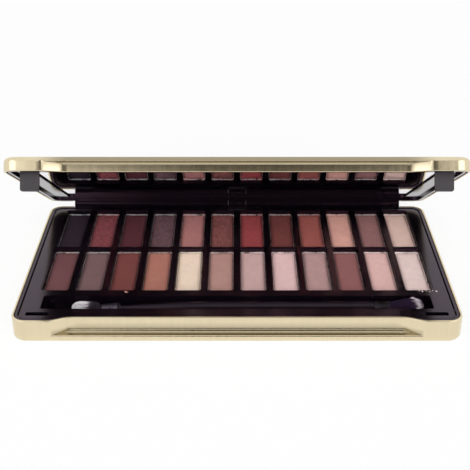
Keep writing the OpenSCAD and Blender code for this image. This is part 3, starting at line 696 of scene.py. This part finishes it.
# ---------------------------------------------------------------- brush handle
# A turned beech handle dipped in black lacquer, slim at the round tuft and fuller at the
# flat one, with two fine grooves cut round it and a small collar next to the round tuft.
left_low, left_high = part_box("brush_ferrule_left")
right_low, right_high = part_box("brush_ferrule_right")
tuft_low, tuft_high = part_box("brush_tuft_left")
fan_low, fan_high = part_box("brush_tuft_right")
brush_start = Vector((tuft_low.x, (tuft_low.y + tuft_high.y) / 2, (left_low.z + left_high.z) / 2))
rise = ((right_low.z + right_high.z) - (left_low.z + left_high.z)) / 2
run = ((right_low.x + right_high.x) - (left_low.x + left_high.x)) / 2
brush_tilt = math.atan2(rise, run)
brush_start.z -= ((left_low.x + left_high.x) / 2 - tuft_low.x) * math.tan(brush_tilt)
brush_place = Matrix.Translation(brush_start) @ Matrix.Rotation(-brush_tilt, 4, "Y")


def turned(name, rings, sides=40):
    """A piece turned about the brush's axis: rings are (distance from the left end, radius)."""
    first, *others = rings
    bpy.ops.object.select_all(action="DESELECT")
    bpy.ops.mesh.primitive_circle_add(vertices=sides, radius=first[1], fill_type="NGON",
                                      location=(first[0], 0, 0), rotation=(0, math.pi / 2, 0))
    piece = bpy.context.object
    piece.name = name
    bpy.ops.object.transform_apply(location=True, rotation=True, scale=True)
    bpy.ops.object.mode_set(mode="EDIT")
    bpy.ops.mesh.select_mode(type="FACE")
    bpy.ops.mesh.select_all(action="SELECT")
    at, radius = first
    for next_at, next_radius in others:
        bpy.ops.mesh.extrude_region_move(TRANSFORM_OT_translate={"value": (next_at - at, 0, 0)})
        ratio = next_radius / radius
        bpy.ops.transform.resize(value=(1, ratio, ratio), center_override=(next_at, 0, 0))
        at, radius = next_at, next_radius
    bpy.ops.mesh.select_all(action="SELECT")
    bpy.ops.mesh.normals_make_consistent(inside=False)
    bpy.ops.object.mode_set(mode="OBJECT")
    piece.data.transform(brush_place)
    bpy.ops.object.shade_smooth_by_angle(angle=math.radians(40))
    return piece


tuft_l, ferrule_l, fan_l = 0.015, 0.0075, 0.017
handle_start = tuft_l + ferrule_l
brush_l = fan_high.x - tuft_low.x
handle_end = fan_low.x - tuft_low.x - ferrule_l
handle_l = handle_end - handle_start
neck_r, thick_r, end_r, swell = 0.0016, 0.0035, 0.0033, 0.33
collar_l, collar_at, collar_r = 0.0026, 0.0012, 0.00285
grooves_apart, groove_w, groove_depth, groove_bend = 0.052, 0.0007, 0.0002, 0.00006
end_round, shaft_steps, neck_steps = 0.0001, 48, 6


def handle_radius(share):
    """The shaft's radius at a share of its length: it swells from the neck, then eases off."""
    if share < swell:
        return neck_r + (thick_r - neck_r) * (1 - (1 - share / swell) ** 2)
    return thick_r + (end_r - thick_r) * (1 - math.cos(math.pi * (share - swell) / (1 - swell))) / 2


shaft_l = handle_l - collar_l
rings = [(handle_start + along, radius) for along, radius in (
    (0, 0.0021), (0.0006, 0.0021), (0.0008, 0.0026), (0.001, 0.0028))]
for step in range(neck_steps):
    share = step / neck_steps
    rings.append((handle_start + collar_at + (collar_l - collar_at) * share,
                  collar_r + (neck_r - collar_r) * (1 - (1 - share) ** 1.6)))
cuts = [handle_start + handle_l / 2 + side * grooves_apart / 2 for side in (-1, 1)]
shaft = [handle_start + collar_l + shaft_l * step / shaft_steps
         for step in range(shaft_steps + 1)]
for cut in cuts:
    shaft = [at for at in shaft if abs(at - cut) > groove_w]
    shaft += [cut - groove_w / 2, cut - groove_w / 2 + groove_bend,
              cut + groove_w / 2 - groove_bend, cut + groove_w / 2]
for at in sorted(shaft):
    radius = handle_radius((at - handle_start - collar_l) / shaft_l)
    if any(abs(at - cut) < groove_w / 2 - groove_bend / 2 for cut in cuts):
        radius -= groove_depth
    rings.append((at, radius))
rings[-1] = (handle_end - end_round, rings[-1][1])
rings.append((handle_end, rings[-1][1] - end_round))
handle = turned("brush_handle_shaft", rings, sides=48)
dipped, tree, face, grains = grained("dipped_black_lacquer", "#0a070c", patch=60.0, fine=900.0,
                                     tint=0.1, roughness=0.14, change=0.03, bump=(0.05, 0.0002))
marks = shader(tree, "Group", {"Density": 0.5}, node_tree=scratches)
feed(face, {"Roughness": maths(tree, "MULTIPLY_ADD", marks, 0.12, grains["Roughness"]),
            "Specular IOR Level": 0.3, "Specular Tint": (1.0, 0.72, 0.95, 1),
            "Coat Weight": 0.04, "Coat Roughness": 0.06})
finish_piece(handle, dipped, "brush", "handle_lacquer", "brush_handle")


# ---------------------------------------------------------------- ferrules
# Drawn aluminium sleeves, one anodised grey and one black, crimped on to the handle by a
# rolled bead and two shallow rings, and pinched round the hair.
def anodised(name, card):
    """Anodised aluminium, satin, with the fine grain of the drawn tube."""
    made, _, face, _ = grained(name, card, patch=200.0, fine=3500.0, tint=0.08, roughness=0.32,
                               change=0.05, bump=(0.1, 0.0001))
    feed(face, {"Metallic": 1.0})
    return made


wall_dip, crimp_dip, bead_l, crimped_l = 0.0002, 0.00032, 0.0016, 0.0034


def ferrule(name, node, at_handle, toward, wide_r, hair_r, metal):
    """One sleeve, from the handle's end to the hair: a bead, two crimped rings, a taper."""
    profile = [(0.0, wall_dip), (0.0002, 0.00004), (0.0004, 0.0), (0.0006, 0.00004),
               (0.0008, wall_dip), (bead_l, wall_dip), (0.0018, crimp_dip), (0.0021, crimp_dip),
               (0.0023, wall_dip), (0.0027, wall_dip), (0.0029, crimp_dip), (0.0032, crimp_dip),
               (crimped_l, wall_dip)]
    profile += [(crimped_l + (ferrule_l - crimped_l) * share, wall_dip)
                for share in (0.25, 0.5, 0.75, 0.93)]
    profile.append((ferrule_l, crimp_dip))
    rings = [(at_handle + toward * along,
              wide_r - dip - max(0, along - bead_l) / (ferrule_l - bead_l)
              * (wide_r - wall_dip - hair_r)) for along, dip in profile]
    finish_piece(turned(name, rings), metal, "brush", "ferrule_metal", node)


ferrule("brush_ferrule_left_sleeve", "brush_ferrule_left", handle_start, -1, wide_r=0.003,
        hair_r=0.0021, metal=anodised("grey_anodised_aluminium", "#4a444e"))
ferrule("brush_ferrule_right_sleeve", "brush_ferrule_right", handle_end, 1, wide_r=0.0033,
        hair_r=0.0031, metal=anodised("black_anodised_aluminium", "#2a272b"))


# ---------------------------------------------------------------- round tuft
# A bundle of soft synthetic hair, glued into the grey ferrule, dyed dark at its root and left
# white at its domed tip. Each hair is one modelled strand, copied along its own path.
def strand_bundle(name, count, root_at, path, core):
    """Tapered hairs along the paths that path(i, count) gives, joined with the core they hide."""
    bpy.ops.object.select_all(action="DESELECT")
    bpy.ops.mesh.primitive_cone_add(vertices=4, radius1=1, radius2=0.35, depth=1,
                                    end_fill_type="TRIFAN", location=(0, 0, 0.5))
    hair = bpy.context.object
    bpy.ops.object.transform_apply(location=True, rotation=True, scale=True)
    bpy.ops.object.mode_set(mode="EDIT")
    for level in (0.2, 0.4, 0.6, 0.8):
        bpy.ops.mesh.select_all(action="SELECT")
        bpy.ops.mesh.bisect(plane_co=(0, 0, level), plane_no=(0, 0, 1))
    bpy.ops.object.mode_set(mode="OBJECT")
    model = [tuple(v.co) for v in hair.data.vertices]
    polygons = [tuple(p.vertices) for p in hair.data.polygons]
    points, faces, shares = [], [], []
    for i in range(count):
        start = len(points)
        along = path(i, count)
        for x, y, z in model:
            ahead = along(min(1.0, z + 0.02)) - along(max(0.0, z - 0.02))
            side = ahead.cross(Vector((0, 0.3, 1))).normalized()
            up = side.cross(ahead).normalized()
            points.append(along(z) + (side * x + up * y) * strand_r)
            shares.append(z)
        faces += [tuple(start + k for k in polygon) for polygon in polygons]
    bpy.data.objects.remove(hair)
    shape = bpy.data.meshes.new(name)
    shape.from_pydata(points, [], faces)
    shape.transform(brush_place)
    for polygon in shape.polygons:
        polygon.use_smooth = True
    bundle = bpy.data.objects.new(name, shape)
    scene.collection.objects.link(bundle)
    back = brush_place.inverted()
    from_root = [min(1.0, abs((back @ v.co).x - root_at) / tuft_l) * 0.8
                 for v in core.data.vertices]
    for mesh, values in ((shape, shares), (core.data, from_root)):
        marks = mesh.attributes.new("along_hair", "FLOAT", "POINT")
        marks.data.foreach_set("value", values)
    select_only(core, bundle)
    bpy.ops.object.join()
    bundle.data.materials.clear()
    return bundle


strand_r, golden_turn = 0.00017, 2.39996
tuft_r, tuft_root_r, shoulder = 0.0038, 0.002, 0.65


def tuft_radius(share):
    """The bundle's radius at a share of its length from the ferrule."""
    if share < shoulder:
        return tuft_r * (0.78 + 0.22 * math.sin(math.pi / 2 * share / shoulder))
    return tuft_r


def tuft_path(i, count):
    """The path of hair i: hairs spread like seeds in a flower's head, shorter at the edge."""
    spread = math.sqrt((i + 0.5) / count)
    angle = i * golden_turn
    jitter = random.Random(i)
    dome = shoulder + (1 - shoulder) * (1 - spread ** 2.2) ** (1 / 2.6)
    reach = dome * (0.985 - 0.05 * jitter.random())
    wander = 0.00012 * (jitter.random() - 0.5)

    def along(share):
        at = share * reach
        open_up = min(1.0, 0.55 + 0.45 * min(1.0, share / 0.12))
        radius = spread * (tuft_radius(at) - 0.0002) * open_up
        return Vector((tuft_l - at * tuft_l, radius * math.cos(angle) + wander * share,
                       radius * math.sin(angle) + wander * share))
    return along


core_rings = [(tuft_l, tuft_root_r)] + [
    (tuft_l - tuft_l * share, (tuft_radius(share) - 0.0005) * min(1, 0.6 + share * 4))
    for share in (0.05, 0.1, 0.2, 0.3, 0.4, 0.5, 0.6)]
core_rings += [
    (tuft_l - tuft_l * (0.62 + 0.3 * share), (tuft_r - 0.0006) * (1 - share ** 2.6) ** 0.45)
    for share in (0.3, 0.55, 0.75, 0.9, 0.97)]
tuft = strand_bundle("brush_tuft_left_hair", 520, tuft_l, tuft_path,
                     turned("tuft_core", core_rings, sides=24))


def dyed_hair(name, gloss, stops):
    """Soft hair whose colour runs along each strand through the stops (place, card)."""
    made, tree, face = new_material(name)
    along = shader(tree, "Attribute", attribute_name="along_hair").outputs["Fac"]
    place = shader(tree, "TexCoord").outputs["Object"]
    drawn = shader(tree, "Mapping", {"Vector": place, "Scale": (90, 3200, 3200)})
    fibre = noise(tree, drawn, 1.0)
    uneven = ranged(tree, fibre, 0.3, 0.7, -0.12, 0.12)
    ramp = shader(tree, "ValToRGB", {0: maths(tree, "ADD", along, uneven)})
    while len(ramp.color_ramp.elements) < len(stops):
        ramp.color_ramp.elements.new(1.0)
    for element, (at, card) in zip(ramp.color_ramp.elements, stops):
        element.position = at
        element.color = linear(card)
    shade = ranged(tree, fibre, 0.25, 0.75, 0.7, 1.12)
    feed(face, {"Base Color": scaled(tree, ramp, shade), "Roughness": 0.5,
                "Specular IOR Level": gloss})
    return made


white_tipped = dyed_hair("white_tipped_hair", gloss=0.3, stops=[
    (0.0, "#130b15"), (0.44, "#1d1420"), (0.55, "#3a2d3f"), (0.62, "#8b828c"),
    (0.74, "#cfcbce"), (1.0, "#dcd8da")])
finish_piece(tuft, white_tipped, "brush", "pale_hair", "brush_tuft_left")

# ---------------------------------------------------------------- flat tuft
# A wider bundle of the same hair in the black ferrule, pinched flat and cut round, dark with
# a pale band of undyed hair behind its tip.
fan_at = brush_l - fan_l
fan_root_r, fan_half, fan_thick = 0.003, 0.0055, 0.0015
fan_open, fan_close, tip_round = fan_l * 0.72, 0.8, 0.27
fan_lean = math.radians(45)


def fan_place(at, across, through):
    """A point of the fan: at along the axis, across its width, through its thickness."""
    return Vector((at, across * math.cos(fan_lean) - through * math.sin(fan_lean),
                   across * math.sin(fan_lean) + through * math.cos(fan_lean)))


def fan_path(i, count):
    """The path of hair i: the bundle opens out across the fan and closes at its tip."""
    spread = math.sqrt((i + 0.5) / count)
    angle = i * golden_turn
    jitter = random.Random(1000 + i)
    across, through = spread * math.cos(angle), spread * math.sin(angle)
    tip = 1 - tip_round * abs(across) ** 3.2
    reach = fan_l * tip * (0.985 - 0.03 * jitter.random())
    wander = 0.00015 * (jitter.random() - 0.5)
    root_r = fan_root_r * 0.93

    def along(share):
        at = share * reach
        opened = min(1.0, at / fan_open)
        wide = root_r + (fan_half - 0.0002 - root_r) * opened
        deep = root_r + (fan_thick - 0.0002 - root_r) * min(1.0, opened * 1.05)
        if at > fan_l * fan_close:
            deep *= 1 - 0.55 * (at / fan_l - fan_close) / 0.2
        return fan_place(fan_at + at, across * wide + wander * share, through * deep)
    return along


core_r, pinched_r = fan_root_r * 0.9, fan_root_r * 0.85
core_rings = [(fan_at + fan_l * share, core_r) for share in (0, 0.1, 0.3, 0.5, 0.7, 0.85)]
core_rings.append((fan_at + fan_l * 0.94, fan_root_r * 0.6))
fan_core = turned("fan_core", core_rings, sides=24)
back = brush_place.inverted()
for vertex in fan_core.data.vertices:
    local = back @ vertex.co
    at = local.x - fan_at
    opened = min(1.0, at / fan_open)
    across = (local.y * math.cos(fan_lean) + local.z * math.sin(fan_lean)) / core_r
    through = (-local.y * math.sin(fan_lean) + local.z * math.cos(fan_lean)) / core_r
    wide = pinched_r + (fan_half - 0.001 - pinched_r) * opened
    deep = pinched_r + (fan_thick - 0.0006 - pinched_r) * opened
    tip_at = fan_at + at * (1 - 0.15 * abs(across) ** 3)
    vertex.co = brush_place @ fan_place(tip_at, across * wide, through * deep)
fan = strand_bundle("brush_tuft_right_hair", 900, fan_at, fan_path, fan_core)
banded = dyed_hair("banded_hair", gloss=0.1, stops=[
    (0.0, "#190a20"), (0.7, "#1e0f26"), (0.79, "#2f2036"), (0.85, "#c0b6ba"),
    (0.92, "#cfc5c8"), (0.965, "#2d2132")])
finish_piece(fan, banded, "brush", "dark_hair", "brush_tuft_right")
